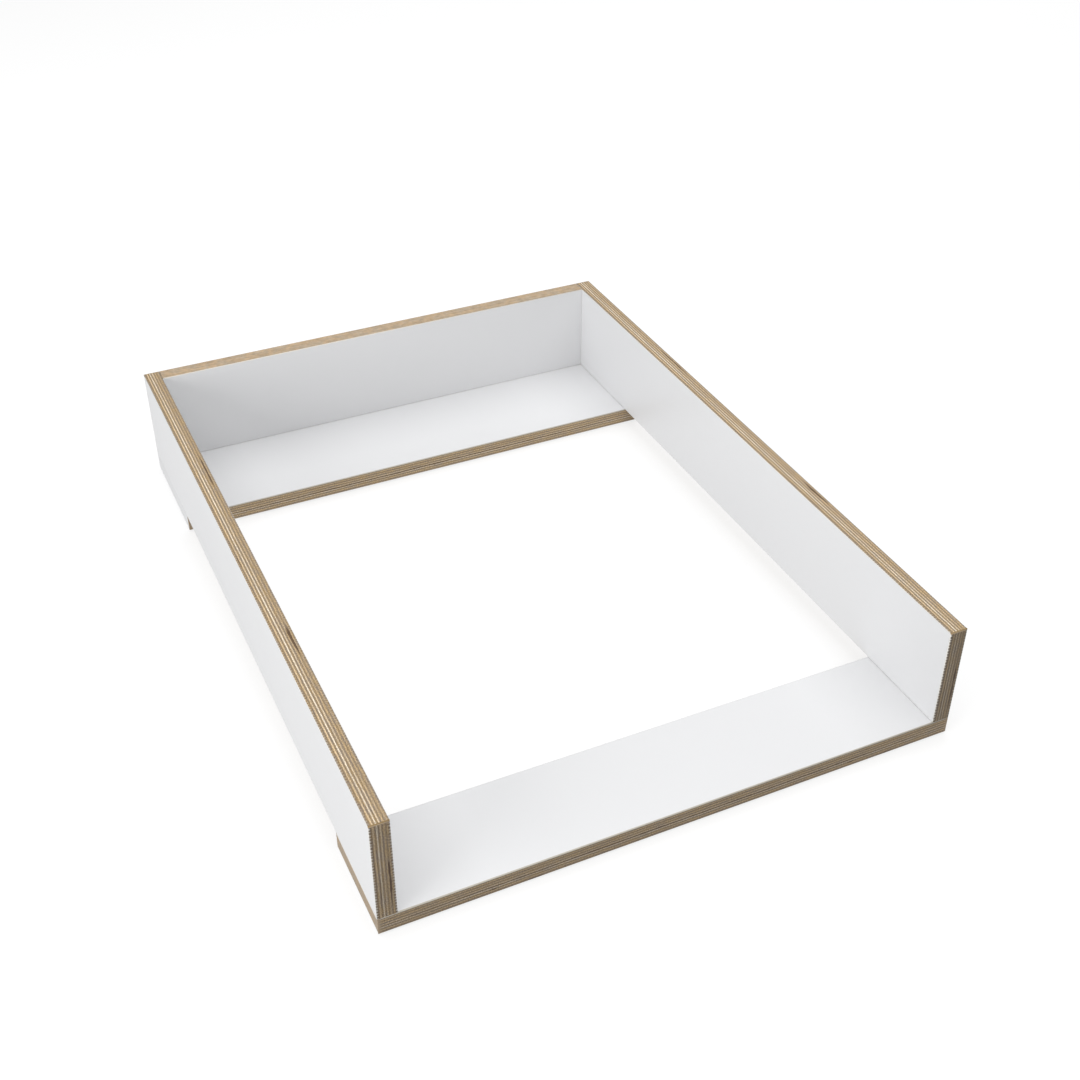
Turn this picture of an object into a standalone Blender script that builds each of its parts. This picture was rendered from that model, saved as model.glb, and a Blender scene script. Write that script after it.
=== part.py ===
"""A changing-top frame: an open tray of five white-faced boards that holds a changing mat on a chest.

Two long side walls stand on a front board and a back board, and a back wall closes the rear between
them. The front is open, and so is the floor between the two boards. Every edge that can be seen or
touched has a glued edge band. Screws come up through the boards into the walls from below, and the
back wall is held to the side walls by dowels and cam fittings set in its rear face.

Units are metres, with +Z up and +Y towards the back wall. The origin lies on the surface that the
frame rests on, under the middle of the frame.
"""

from math import cos, pi, sin

import bmesh
import bpy
from mathutils import Matrix, Vector

# The frame, measured over its edge bands
FRAME_WIDTH = 0.570
FRAME_DEPTH = 0.768
WALL_HEIGHT = 0.108
FRONT_BOARD_DEPTH = 0.105
BACK_BOARD_DEPTH = 0.144
PANEL_THICKNESS = 0.018

# The edge bands, and the gaps between pieces that touch
BAND_THICKNESS = 0.001
BAND_EDGE_RADIUS = 0.0007
BAND_EDGE_STEPS = 3
GLUE_LINE = 0.0003
JOINT_GAP = 0.0003
BORE_CLEARANCE = 0.0003

# Anti-slip pads under the boards
PAD_RADIUS = 0.010
PAD_THICKNESS = 0.002
PAD_CHAMFER = 0.0004
PAD_SIDE_INSET = 0.060

# Screws that join the boards to the walls. Each is driven up from below
SCREW_LENGTH = 0.050
SCREW_HEAD_RADIUS = 0.005
SCREW_HEAD_RIM = 0.0006
SCREW_HEAD_CONE = 0.003
SCREW_SHANK_RADIUS = 0.0035
SCREW_SHANK_LENGTH = 0.011
SCREW_ROOT_RADIUS = 0.0023
SCREW_SHOULDER = 0.001
SCREW_TURNS = 6
SCREW_TIP_LENGTH = 0.0044
SCREW_TIP_RADIUS = 0.001
SCREW_SINK = 0.0004
SCREW_END_ROOM = 0.001
SCREW_BOARD_INSET = 0.028
BACK_WALL_SCREW_INSET = 0.067
SOCKET_ACROSS_FLATS = 0.004
SOCKET_DEPTH = 0.0032

# Dowels and cam fittings between the back wall and the side walls
DOWEL_LENGTH = 0.030
DOWEL_RADIUS = 0.004
DOWEL_FLUTE_DEPTH = 0.0003
DOWEL_CHAMFER = 0.0012
DOWEL_DEPTH_IN_SIDE_WALL = 0.012
DOWEL_SPACING = 0.064
CAM_RADIUS = 0.0072
CAM_THICKNESS = 0.0122
CAM_CHAMFER = 0.0004
CAM_INSET = 0.034
CAM_SLOT_LENGTH = 0.009
CAM_SLOT_WIDTH = 0.0016
CAM_SLOT_DEPTH = 0.0028
CAP_THICKNESS = 0.0012
CAP_CHAMFER = 0.0003
BOLT_THREAD_LENGTH = 0.011
BOLT_THREAD_RADIUS = 0.0025
BOLT_ROOT_RADIUS = 0.0018
BOLT_TURNS = 4
BOLT_TIP_LENGTH = 0.001
BOLT_COLLAR_RADIUS = 0.0034
BOLT_COLLAR_THICKNESS = 0.0012
BOLT_SHANK_RADIUS = 0.0025
BOLT_NECK_RADIUS = 0.0016
BOLT_NECK_LENGTH = 0.003
BOLT_HEAD_RADIUS = 0.0034
BOLT_HEAD_LENGTH = 0.0044
BOLT_BORE_DEPTH = 0.013

# A thread's height in pitches is its whole turns and this much more, to run in and out
THREAD_RUN = 1.5

# How finely round pieces are divided. A screw and its hole share one number, so their flats line up
FASTENER_SEGMENTS = 12
DOWEL_SEGMENTS = 16
CAM_SEGMENTS = 24
PAD_SEGMENTS = 28
SHARP_ANGLE = 35 * pi / 180

# How far a cutter runs past the face that it opens
OVERRUN = 0.001

# Places that follow from the sizes
HALF_WIDTH = FRAME_WIDTH / 2
HALF_DEPTH = FRAME_DEPTH / 2
BOARD_BOTTOM = PAD_THICKNESS + JOINT_GAP
BOARD_TOP = BOARD_BOTTOM + PANEL_THICKNESS
WALL_BOTTOM = BOARD_TOP + JOINT_GAP
WALL_TOP = WALL_BOTTOM + WALL_HEIGHT
WALL_FACE_X = HALF_WIDTH - PANEL_THICKNESS
WALL_MIDDLE_X = HALF_WIDTH - PANEL_THICKNESS / 2
BACK_WALL_END_X = WALL_FACE_X - JOINT_GAP
BACK_WALL_MIDDLE_Y = HALF_DEPTH - PANEL_THICKNESS / 2
FRONT_BOARD_REAR_Y = -HALF_DEPTH + FRONT_BOARD_DEPTH
BACK_BOARD_FRONT_Y = HALF_DEPTH - BACK_BOARD_DEPTH
BAND_ROOM = BAND_THICKNESS + GLUE_LINE

# Each side of a panel, as the axis it faces along and the direction on that axis
SIDES = {
    "left": (0, -1),
    "right": (0, 1),
    "front": (1, -1),
    "back": (1, 1),
    "bottom": (2, -1),
    "top": (2, 1),
}

# Base colour, roughness and metallic value of each finish
FINISHES = {
    "white_laminate": ((0.83, 0.84, 0.85), 0.45, 0.0),
    "plywood_look_band": ((0.42, 0.32, 0.22), 0.5, 0.0),
    "white_band": ((0.81, 0.82, 0.83), 0.45, 0.0),
    "beech": ((0.66, 0.46, 0.29), 0.65, 0.0),
    "zinc_plated_steel": ((0.62, 0.62, 0.60), 0.32, 1.0),
    "die_cast_zinc": ((0.50, 0.50, 0.51), 0.45, 1.0),
    "white_plastic": ((0.80, 0.80, 0.79), 0.4, 0.0),
    "grey_rubber": ((0.10, 0.10, 0.11), 0.8, 0.0),
}


def clear_scene():
    """Removes what a new Blender file holds."""
    for thing in list(bpy.data.objects):
        bpy.data.objects.remove(thing)


def make_material(name):
    """One Principled material for a finish."""
    colour, roughness, metallic = FINISHES[name]
    material = bpy.data.materials.new(name)
    material.use_nodes = True
    shader = material.node_tree.nodes["Principled BSDF"]
    shader.inputs["Base Color"].default_value = (*colour, 1.0)
    shader.inputs["Roughness"].default_value = roughness
    shader.inputs["Metallic"].default_value = metallic
    return material


def add_object(name, mesh, finish, matrix):
    """Puts a mesh in the scene as one named sub-part of the frame."""
    piece = bpy.data.objects.new(name, mesh)
    bpy.context.collection.objects.link(piece)
    piece.parent = frame
    piece.matrix_world = matrix
    if not mesh.materials:
        mesh.materials.append(materials[finish])
    return piece


def finished_mesh(name, bm):
    """Turns a closed bmesh into a mesh whose faces point outwards, and frees the bmesh."""
    bmesh.ops.recalc_face_normals(bm, faces=bm.faces)
    mesh = bpy.data.meshes.new(name)
    bm.to_mesh(mesh)
    bm.free()
    return mesh


def shade_round(mesh):
    """Smooth shading that stays sharp where the surface turns by more than the sharp angle."""
    mesh.shade_smooth()
    mesh.set_sharp_from_angle(angle=SHARP_ANGLE)


# Turned shapes: rings of points about the Z axis, joined one to the next


def add_ring(bm, height, radius, segments):
    """Adds one ring of points. The radius is a number, or a function of the point's index."""
    ring = []
    for index in range(segments):
        angle = 2 * pi * index / segments
        reach = radius(index) if callable(radius) else radius
        ring.append(bm.verts.new((reach * cos(angle), reach * sin(angle), height)))
    return ring


def join_rings(bm, lower, upper):
    """Adds the band of faces between two rings."""
    for index, point in enumerate(lower):
        after = (index + 1) % len(lower)
        bm.faces.new((point, lower[after], upper[after], upper[index]))


def add_turned(bm, rows, segments):
    """Adds a closed turned body from (height, radius) rows."""
    rings = [add_ring(bm, height, radius, segments) for height, radius in rows]
    for lower, upper in zip(rings, rings[1:]):
        join_rings(bm, lower, upper)
    bm.faces.new(rings[0])
    bm.faces.new(rings[-1])


def turned_mesh(name, rows, segments):
    """A turned body as a mesh of its own, shaded as a round piece."""
    bm = bmesh.new()
    add_turned(bm, rows, segments)
    mesh = finished_mesh(name, bm)
    shade_round(mesh)
    return mesh


def add_thread(bm, start_ring, start, end, turns, root, crest):
    """Winds a V-shaped thread up from a ring, and returns the ring that ends it.

    Rows of points lie in turn at the root and at the crest, all on one helix, so the row that has
    gone once round goes on as the row two above it.
    """
    segments = len(start_ring)
    rows = 2 * turns
    pitch = (end - start) / (turns + THREAD_RUN)
    run_in = (THREAD_RUN - 1) / 2 * pitch

    def add_point(row, step):
        angle = 2 * pi * step / segments
        radius = crest if row % 2 else root
        height = start + run_in + pitch * (row / 2 + step / segments)
        return bm.verts.new((radius * cos(angle), radius * sin(angle), height))

    points = {(row, step): add_point(row, step) for row in range(rows + 1) for step in range(segments)}
    for row in (rows + 1, rows + 2):
        points[row, 0] = add_point(row, 0)

    def point_at(row, step):
        return points[row + 2, 0] if step == segments else points[row, step]

    end_ring = add_ring(bm, end, root, segments)
    for step in range(segments):
        after = (step + 1) % segments
        bm.faces.new((start_ring[step], start_ring[after], point_at(0, step + 1), points[0, step]))
        for row in range(rows):
            corners = (points[row, step], point_at(row, step + 1))
            bm.faces.new((*corners, point_at(row + 1, step + 1), points[row + 1, step]))
        bm.faces.new((points[rows, step], point_at(rows, step + 1), end_ring[after], end_ring[step]))
    bm.faces.new((start_ring[0], points[0, 0], points[1, 0], points[2, 0]))
    bm.faces.new((points[rows, 0], points[rows + 1, 0], points[rows + 2, 0], end_ring[0]))
    return end_ring


# Drilling: cutters are hidden bodies, and a Boolean takes them out of a piece


def add_cutter(name, bm, placement):
    """Puts a closed bmesh in the scene as a hidden cutter."""
    cutter = bpy.data.objects.new(name, finished_mesh(name, bm))
    bpy.context.collection.objects.link(cutter)
    cutter.parent = frame
    cutter.matrix_world = placement
    cutter.hide_render = True
    cutter.display_type = "WIRE"
    return cutter


def make_cutter(name, rows, segments, placements):
    """One hidden cutter that holds the same turned body at each placement."""
    bm = bmesh.new()
    for placement in placements:
        before = set(bm.verts)
        add_turned(bm, rows, segments)
        new_points = [point for point in bm.verts if point not in before]
        bmesh.ops.transform(bm, matrix=placement, verts=new_points)
    return add_cutter(name, bm, Matrix.Identity(4))


def cut(piece, cutter):
    """Takes a cutter out of a piece."""
    boolean = piece.modifiers.new("cut_" + cutter.name, "BOOLEAN")
    boolean.operation = "DIFFERENCE"
    boolean.solver = "EXACT"
    boolean.object = cutter


# Panels and their edge bands


def box_between(bm, low, high):
    """Adds a box between two corners."""
    low, high = Vector(low), Vector(high)
    placement = Matrix.Translation((low + high) / 2) @ Matrix.Diagonal((*(high - low), 1.0))
    return bmesh.ops.create_cube(bm, size=1.0, matrix=placement)


def add_box(name, low, high, finish):
    """A plain board, with its mesh centred on its own origin."""
    low, high = Vector(low), Vector(high)
    middle = (low + high) / 2
    bm = bmesh.new()
    box_between(bm, low - middle, high - middle)
    return add_object(name, finished_mesh(name, bm), finish, Matrix.Translation(middle))


def pull_in(low, high, side, distance):
    """Moves one side of a box inwards."""
    axis, direction = SIDES[side]
    if direction < 0:
        low[axis] += distance
    else:
        high[axis] -= distance


def add_band(name, low, high, side, covered_ends, finish):
    """One edge band, rounded along its outer edges but square where another band covers its end."""
    low, high = Vector(low), Vector(high)
    axis, direction = SIDES[side]
    middle = (low + high) / 2
    bm = bmesh.new()
    box_between(bm, low - middle, high - middle)
    outer = (high - middle)[axis] * direction
    flush = BAND_THICKNESS / 10

    def lies_on(edge, edge_axis, level):
        return all(abs(point.co[edge_axis] - level) < flush for point in edge.verts)

    rounded = [edge for edge in bm.edges if lies_on(edge, axis, outer)]
    for end in covered_ends:
        end_axis, end_direction = SIDES[end]
        level = (high - middle)[end_axis] * end_direction
        rounded = [edge for edge in rounded if not lies_on(edge, end_axis, level)]
    bmesh.ops.bevel(
        bm,
        geom=rounded,
        offset=BAND_EDGE_RADIUS,
        segments=BAND_EDGE_STEPS,
        profile=0.5,
        affect="EDGES",
    )
    mesh = finished_mesh(name, bm)
    shade_round(mesh)
    return add_object(name, mesh, finish, Matrix.Translation(middle))


def add_banded_panel(name, low, high, bands):
    """A board and the bands round it, between the corners that they fill together.

    bands gives each banded side's finish, in the order of gluing: a band that is glued later covers
    the ends of those glued before it. The board comes first in what is returned, then its bands.
    """
    board_low, board_high = list(low), list(high)
    for side in bands:
        pull_in(board_low, board_high, side, BAND_ROOM)
    pieces = {"board": add_box(name, board_low, board_high, "white_laminate")}
    order = list(bands)
    for place, side in enumerate(order):
        axis, direction = SIDES[side]
        band_low, band_high = list(low), list(high)
        if direction < 0:
            band_high[axis] = band_low[axis] + BAND_THICKNESS
        else:
            band_low[axis] = band_high[axis] - BAND_THICKNESS
        covering = [later for later in order[place + 1 :] if SIDES[later][0] != axis]
        for later in covering:
            pull_in(band_low, band_high, later, BAND_ROOM)
        band_name = name + "_band_" + side
        pieces[side] = add_band(band_name, band_low, band_high, side, covering, bands[side])
    return pieces


# Where the fasteners go


def side_wall_screw_spots(front_y, rear_y):
    """The screws through one board into both side walls, as (x, y)."""
    across = (-WALL_MIDDLE_X, WALL_MIDDLE_X)
    along = (front_y + SCREW_BOARD_INSET, rear_y - SCREW_BOARD_INSET)
    return [(x, y) for x in across for y in along]


FRONT_BOARD_SPOTS = side_wall_screw_spots(-HALF_DEPTH, FRONT_BOARD_REAR_Y)
BACK_BOARD_SPOTS = side_wall_screw_spots(BACK_BOARD_FRONT_Y, HALF_DEPTH)
OUTER_BACK_WALL_SCREW_X = WALL_FACE_X - BACK_WALL_SCREW_INSET
BACK_WALL_SCREW_XS = (-OUTER_BACK_WALL_SCREW_X, 0.0, OUTER_BACK_WALL_SCREW_X)
BACK_WALL_SPOTS = [(x, BACK_WALL_MIDDLE_Y) for x in BACK_WALL_SCREW_XS]
WALL_MIDDLE_Z = WALL_BOTTOM + WALL_HEIGHT / 2
DOWEL_HEIGHTS = (WALL_MIDDLE_Z - DOWEL_SPACING / 2, WALL_MIDDLE_Z + DOWEL_SPACING / 2)


def towards_middle(side_sign):
    """Turns +Z to point along X from a side wall towards the middle of the frame."""
    return Matrix.Rotation(-side_sign * pi / 2, 4, "Y")


def at_end(side_sign, distance, height):
    """A frame on the back wall's axis, this far in from a side wall's inner face, aimed inwards."""
    x = side_sign * (WALL_FACE_X - distance)
    return Matrix.Translation((x, BACK_WALL_MIDDLE_Y, height)) @ towards_middle(side_sign)


# The pieces


def make_screw_mesh():
    """A countersunk furniture screw with a hexagon socket, its head's face at the origin."""

    def hexagon(index):
        return SOCKET_ACROSS_FLATS / 2 / (1.0 if index % 2 else cos(pi / 6))

    bm = bmesh.new()
    shank_start = SCREW_HEAD_RIM + SCREW_HEAD_CONE
    shank_end = shank_start + SCREW_SHANK_LENGTH
    thread_start = shank_end + SCREW_SHOULDER
    rows = [
        (SOCKET_DEPTH, hexagon),
        (0.0, hexagon),
        (0.0, SCREW_HEAD_RADIUS),
        (SCREW_HEAD_RIM, SCREW_HEAD_RADIUS),
        (shank_start, SCREW_SHANK_RADIUS),
        (shank_end, SCREW_SHANK_RADIUS),
        (thread_start, SCREW_ROOT_RADIUS),
    ]
    rings = [add_ring(bm, height, radius, FASTENER_SEGMENTS) for height, radius in rows]
    for lower, upper in zip(rings, rings[1:]):
        join_rings(bm, lower, upper)
    bm.faces.new(rings[0])
    thread_end = SCREW_LENGTH - SCREW_TIP_LENGTH
    ridge = (SCREW_TURNS, SCREW_ROOT_RADIUS, SCREW_SHANK_RADIUS)
    last_ring = add_thread(bm, rings[-1], thread_start, thread_end, *ridge)
    tip = add_ring(bm, SCREW_LENGTH, SCREW_TIP_RADIUS, FASTENER_SEGMENTS)
    join_rings(bm, last_ring, tip)
    bm.faces.new(tip)
    mesh = finished_mesh("screw", bm)
    shade_round(mesh)
    return mesh


def make_bolt_mesh():
    """A cam bolt: its thread ends at the origin, and its head lies up the Z axis, in the cam."""
    bm = bmesh.new()
    tip = add_ring(bm, -BOLT_THREAD_LENGTH, BOLT_ROOT_RADIUS / 2, FASTENER_SEGMENTS)
    start = -BOLT_THREAD_LENGTH + BOLT_TIP_LENGTH
    first_ring = add_ring(bm, start, BOLT_ROOT_RADIUS, FASTENER_SEGMENTS)
    bm.faces.new(tip)
    join_rings(bm, tip, first_ring)
    ring = add_thread(bm, first_ring, start, 0.0, BOLT_TURNS, BOLT_ROOT_RADIUS, BOLT_THREAD_RADIUS)
    head_end = CAM_INSET + BOLT_HEAD_LENGTH / 2
    head_start = CAM_INSET - BOLT_HEAD_LENGTH / 2
    neck_start = head_start - BOLT_NECK_LENGTH
    collar_end = JOINT_GAP + BOLT_COLLAR_THICKNESS
    rows = [
        (JOINT_GAP, BOLT_ROOT_RADIUS),
        (JOINT_GAP, BOLT_COLLAR_RADIUS),
        (collar_end, BOLT_COLLAR_RADIUS),
        (collar_end, BOLT_SHANK_RADIUS),
        (neck_start, BOLT_SHANK_RADIUS),
        (neck_start + BOLT_NECK_LENGTH / 3, BOLT_NECK_RADIUS),
        (head_start, BOLT_NECK_RADIUS),
        (head_start + BOLT_HEAD_LENGTH / 4, BOLT_HEAD_RADIUS),
        (head_end - BOLT_HEAD_LENGTH / 3, BOLT_HEAD_RADIUS),
        (head_end, BOLT_HEAD_RADIUS / 2),
    ]
    for height, radius in rows:
        upper = add_ring(bm, height, radius, FASTENER_SEGMENTS)
        join_rings(bm, ring, upper)
        ring = upper
    bm.faces.new(ring)
    mesh = finished_mesh("cam_bolt", bm)
    shade_round(mesh)
    return mesh


def make_dowel_mesh():
    """A fluted wooden dowel with chamfered ends, its middle at the origin."""

    def fluted(index):
        return DOWEL_RADIUS - (DOWEL_FLUTE_DEPTH if index % 2 else 0.0)

    half = DOWEL_LENGTH / 2
    rows = [
        (-half, DOWEL_RADIUS - DOWEL_CHAMFER),
        (-half + DOWEL_CHAMFER, fluted),
        (half - DOWEL_CHAMFER, fluted),
        (half, DOWEL_RADIUS - DOWEL_CHAMFER),
    ]
    bm = bmesh.new()
    add_turned(bm, rows, DOWEL_SEGMENTS)
    return finished_mesh("dowel", bm)


def chamfered_disc(name, radius, thickness, chamfer, segments):
    """A disc that stands on the origin, chamfered round its lower and upper faces."""
    rows = [
        (0.0, radius - chamfer),
        (chamfer, radius),
        (thickness - chamfer, radius),
        (thickness, radius - chamfer),
    ]
    return turned_mesh(name, rows, segments)


def make_panels():
    """The five boards with their bands. Returns them by name, each board with its bands by side."""
    wood, white = "plywood_look_band", "white_band"
    panels = {}
    wall_bands = {"top": wood, "bottom": wood, "front": wood, "back": wood}
    for label, sign in (("left", -1), ("right", 1)):
        inner, outer = sign * WALL_FACE_X, sign * HALF_WIDTH
        low = (min(inner, outer), -HALF_DEPTH, WALL_BOTTOM)
        high = (max(inner, outer), HALF_DEPTH, WALL_TOP)
        panels[label] = add_banded_panel(label + "_side_wall", low, high, wall_bands)
    low = (-BACK_WALL_END_X, HALF_DEPTH - PANEL_THICKNESS, WALL_BOTTOM)
    high = (BACK_WALL_END_X, HALF_DEPTH, WALL_TOP)
    panels["back_wall"] = add_banded_panel("back_wall", low, high, {"top": wood})
    low = (-HALF_WIDTH, -HALF_DEPTH, BOARD_BOTTOM)
    high = (HALF_WIDTH, FRONT_BOARD_REAR_Y, BOARD_TOP)
    front_bands = {"left": wood, "right": wood, "front": wood, "back": wood}
    panels["front_board"] = add_banded_panel("front_board", low, high, front_bands)
    low = (-HALF_WIDTH, BACK_BOARD_FRONT_Y, BOARD_BOTTOM)
    high = (HALF_WIDTH, HALF_DEPTH, BOARD_TOP)
    back_bands = {"left": white, "right": white, "front": wood, "back": white}
    panels["back_board"] = add_banded_panel("back_board", low, high, back_bands)
    return panels


def fit_screws(panels):
    """Drills the boards and the walls above them, and puts a screw in each pair of holes."""
    head_bore = SCREW_HEAD_RADIUS + BORE_CLEARANCE
    shank_bore = SCREW_SHANK_RADIUS + BORE_CLEARANCE
    rim_end = SCREW_SINK + SCREW_HEAD_RIM + BORE_CLEARANCE
    board_rows = [
        (-OVERRUN, head_bore),
        (rim_end, head_bore),
        (rim_end + SCREW_HEAD_CONE, shank_bore),
        (PANEL_THICKNESS + JOINT_GAP / 2, shank_bore),
    ]
    wall_rows = [
        (PANEL_THICKNESS + JOINT_GAP / 2, shank_bore),
        (SCREW_SINK + SCREW_LENGTH + SCREW_END_ROOM, shank_bore),
    ]
    targets = {
        "front_board": (FRONT_BOARD_SPOTS, "front_board"),
        "back_board": (BACK_BOARD_SPOTS, "back_board"),
        "back_wall": (BACK_WALL_SPOTS, "back_board"),
    }
    screw = make_screw_mesh()
    for label, (spots, board) in targets.items():
        placements = [Matrix.Translation((x, y, BOARD_BOTTOM)) for x, y in spots]
        through = make_cutter(label + "_screw_holes", board_rows, FASTENER_SEGMENTS, placements)
        cut(panels[board]["board"], through)
        groups = {"back_wall": placements}
        if label != "back_wall":
            groups = {
                "left": [place for place in placements if place.translation.x < 0],
                "right": [place for place in placements if place.translation.x > 0],
            }
        for wall, wall_placements in groups.items():
            name = label + "_pilot_holes_" + wall
            pilot = make_cutter(name, wall_rows, FASTENER_SEGMENTS, wall_placements)
            cut(panels[wall]["board"], pilot)
            if "bottom" in panels[wall]:
                cut(panels[wall]["bottom"], pilot)
        for number, (x, y) in enumerate(spots, start=1):
            placement = Matrix.Translation((x, y, BOARD_BOTTOM + SCREW_SINK))
            add_object(label + "_screw_" + str(number), screw, "zinc_plated_steel", placement)


def fit_dowels(panels):
    """Drills the back wall's ends and the side walls, and puts two dowels in each joint."""
    bore = DOWEL_RADIUS + BORE_CLEARANCE
    middle = DOWEL_LENGTH / 2 - DOWEL_DEPTH_IN_SIDE_WALL
    reach = DOWEL_LENGTH / 2 + BORE_CLEARANCE
    rows = [(-reach, bore), (reach, bore)]
    dowel = make_dowel_mesh()
    for label, sign in (("left", -1), ("right", 1)):
        placements = [at_end(sign, middle, height) for height in DOWEL_HEIGHTS]
        holes = make_cutter(label + "_dowel_holes", rows, DOWEL_SEGMENTS, placements)
        cut(panels["back_wall"]["board"], holes)
        cut(panels[label]["board"], holes)
        for number, placement in enumerate(placements, start=1):
            add_object(label + "_dowel_" + str(number), dowel, "beech", placement)


def make_cam_slot(name, placement):
    """The cutter for one arm of the cross slot in a cam's outer face."""
    bm = bmesh.new()
    low = (-CAM_SLOT_LENGTH / 2, -CAM_SLOT_WIDTH / 2, CAM_THICKNESS - CAM_SLOT_DEPTH)
    high = (CAM_SLOT_LENGTH / 2, CAM_SLOT_WIDTH / 2, CAM_THICKNESS + OVERRUN)
    box_between(bm, low, high)
    return add_cutter(name, bm, placement)


def fit_cams(panels):
    """Sets a cam, its cover cap and its bolt at each end of the back wall."""
    bolt = make_bolt_mesh()
    cam_disc = chamfered_disc("cam", CAM_RADIUS, CAM_THICKNESS, CAM_CHAMFER, CAM_SEGMENTS)
    cap = chamfered_disc("cover_cap", CAM_RADIUS, CAP_THICKNESS, CAP_CHAMFER, CAM_SEGMENTS)
    cam_outer = HALF_DEPTH - CAP_THICKNESS - JOINT_GAP
    cam_inner = cam_outer - CAM_THICKNESS
    pocket_bore = CAM_RADIUS + BORE_CLEARANCE
    pocket_rows = [(-BORE_CLEARANCE, pocket_bore), (HALF_DEPTH - cam_inner + OVERRUN, pocket_bore)]
    bolt_bore = BOLT_HEAD_RADIUS + BORE_CLEARANCE
    way_rows = [(-OVERRUN, bolt_bore), (CAM_INSET + BOLT_HEAD_LENGTH / 2 + BORE_CLEARANCE, bolt_bore)]
    thread_bore = BOLT_THREAD_RADIUS + BORE_CLEARANCE
    thread_rows = [(-BOLT_BORE_DEPTH, thread_bore), (OVERRUN, thread_bore)]
    to_rear = Matrix.Rotation(-pi / 2, 4, "X")
    for label, sign in (("left", -1), ("right", 1)):
        cam_x = sign * (WALL_FACE_X - CAM_INSET)
        cam_place = Matrix.Translation((cam_x, cam_inner, WALL_MIDDLE_Z)) @ to_rear
        pocket = make_cutter(label + "_cam_pocket", pocket_rows, CAM_SEGMENTS, [cam_place])
        bolt_place = at_end(sign, 0.0, WALL_MIDDLE_Z)
        way = make_cutter(label + "_bolt_way", way_rows, FASTENER_SEGMENTS, [bolt_place])
        socket = make_cutter(label + "_bolt_socket", thread_rows, FASTENER_SEGMENTS, [bolt_place])
        cut(panels["back_wall"]["board"], pocket)
        cut(panels["back_wall"]["board"], way)
        cut(panels[label]["board"], socket)
        cam = add_object(label + "_cam", cam_disc, "die_cast_zinc", cam_place)
        cut(cam, way)
        for turn, name in ((0.0, "_slot_across"), (pi / 2, "_slot_upright")):
            cut(cam, make_cam_slot(label + name, cam_place @ Matrix.Rotation(turn, 4, "Z")))
        cap_place = Matrix.Translation((cam_x, HALF_DEPTH - CAP_THICKNESS, WALL_MIDDLE_Z)) @ to_rear
        add_object(label + "_cam_cap", cap, "white_plastic", cap_place)
        add_object(label + "_cam_bolt", bolt, "zinc_plated_steel", bolt_place)


def fit_pads():
    """Sticks two anti-slip pads under each board, on the board's middle line."""
    pad = chamfered_disc("anti_slip_pad", PAD_RADIUS, PAD_THICKNESS, PAD_CHAMFER, PAD_SEGMENTS)
    middles = {
        "front": (-HALF_DEPTH + FRONT_BOARD_REAR_Y) / 2,
        "back": (BACK_BOARD_FRONT_Y + HALF_DEPTH) / 2,
    }
    for board, y in middles.items():
        for label, sign in (("left", -1), ("right", 1)):
            place = Matrix.Translation((sign * (HALF_WIDTH - PAD_SIDE_INSET), y, 0.0))
            add_object("anti_slip_pad_" + board + "_" + label, pad, "grey_rubber", place)


clear_scene()
frame = bpy.data.objects.new("changing_top_frame", None)
bpy.context.collection.objects.link(frame)
materials = {name: make_material(name) for name in FINISHES}
boards = make_panels()
fit_screws(boards)
fit_dowels(boards)
fit_cams(boards)
fit_pads()
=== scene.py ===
# %% [markdown]
# # The looks of a changing-top frame
#
# The real object is a rigid tray of five white boards that holds a changing mat on top of a chest of
# drawers. Its boards are white-faced chipboard, and most of their edges are covered by thin bands that
# are printed to look like plywood. The construction model already fixes every size, so this lesson only
# adds what the eye sees: rounded bands, clean bores, screws with real sockets, and a finish for every
# surface.
#
# The first cell loads the construction model as a fixed frame. Every place used later is read from it.

from math import cos, pi, radians, sin, tau

import bmesh
import bpy
from mathutils import Matrix, Vector


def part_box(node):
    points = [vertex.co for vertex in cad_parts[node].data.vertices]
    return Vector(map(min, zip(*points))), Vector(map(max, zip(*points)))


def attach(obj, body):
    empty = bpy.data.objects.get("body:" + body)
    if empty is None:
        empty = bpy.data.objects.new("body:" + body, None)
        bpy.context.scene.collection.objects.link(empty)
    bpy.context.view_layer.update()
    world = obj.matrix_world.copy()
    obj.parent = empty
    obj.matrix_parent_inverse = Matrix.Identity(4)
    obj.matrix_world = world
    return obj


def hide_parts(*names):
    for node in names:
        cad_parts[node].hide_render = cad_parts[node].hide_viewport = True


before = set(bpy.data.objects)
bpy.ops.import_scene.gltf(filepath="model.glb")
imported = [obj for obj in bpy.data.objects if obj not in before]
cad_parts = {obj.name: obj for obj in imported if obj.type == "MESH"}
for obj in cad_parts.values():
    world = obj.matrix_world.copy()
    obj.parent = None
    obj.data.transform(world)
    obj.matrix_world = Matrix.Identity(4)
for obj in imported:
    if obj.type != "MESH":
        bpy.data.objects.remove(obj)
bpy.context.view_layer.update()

# %% [markdown]
# ## Camera
#
# The viewer stands in front of the tray, a little to its left, and looks down on it at about 36 degrees.
# A real lens of 49.5 mm on a 36 mm wide sensor gives the same gentle perspective. A camera in Blender
# looks along its own -Z axis, so a rotation of 90 degrees about X would level it, and less than that tips
# it down.

# %% The camera
CAMERA_PLACE = (-0.4978, -1.1576, 0.9812)
CAMERA_TILT = radians(90.0 - 36.17)
CAMERA_TURN = radians(-24.87)
LENS_MM = 49.49
SENSOR_MM = 36.0

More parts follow.
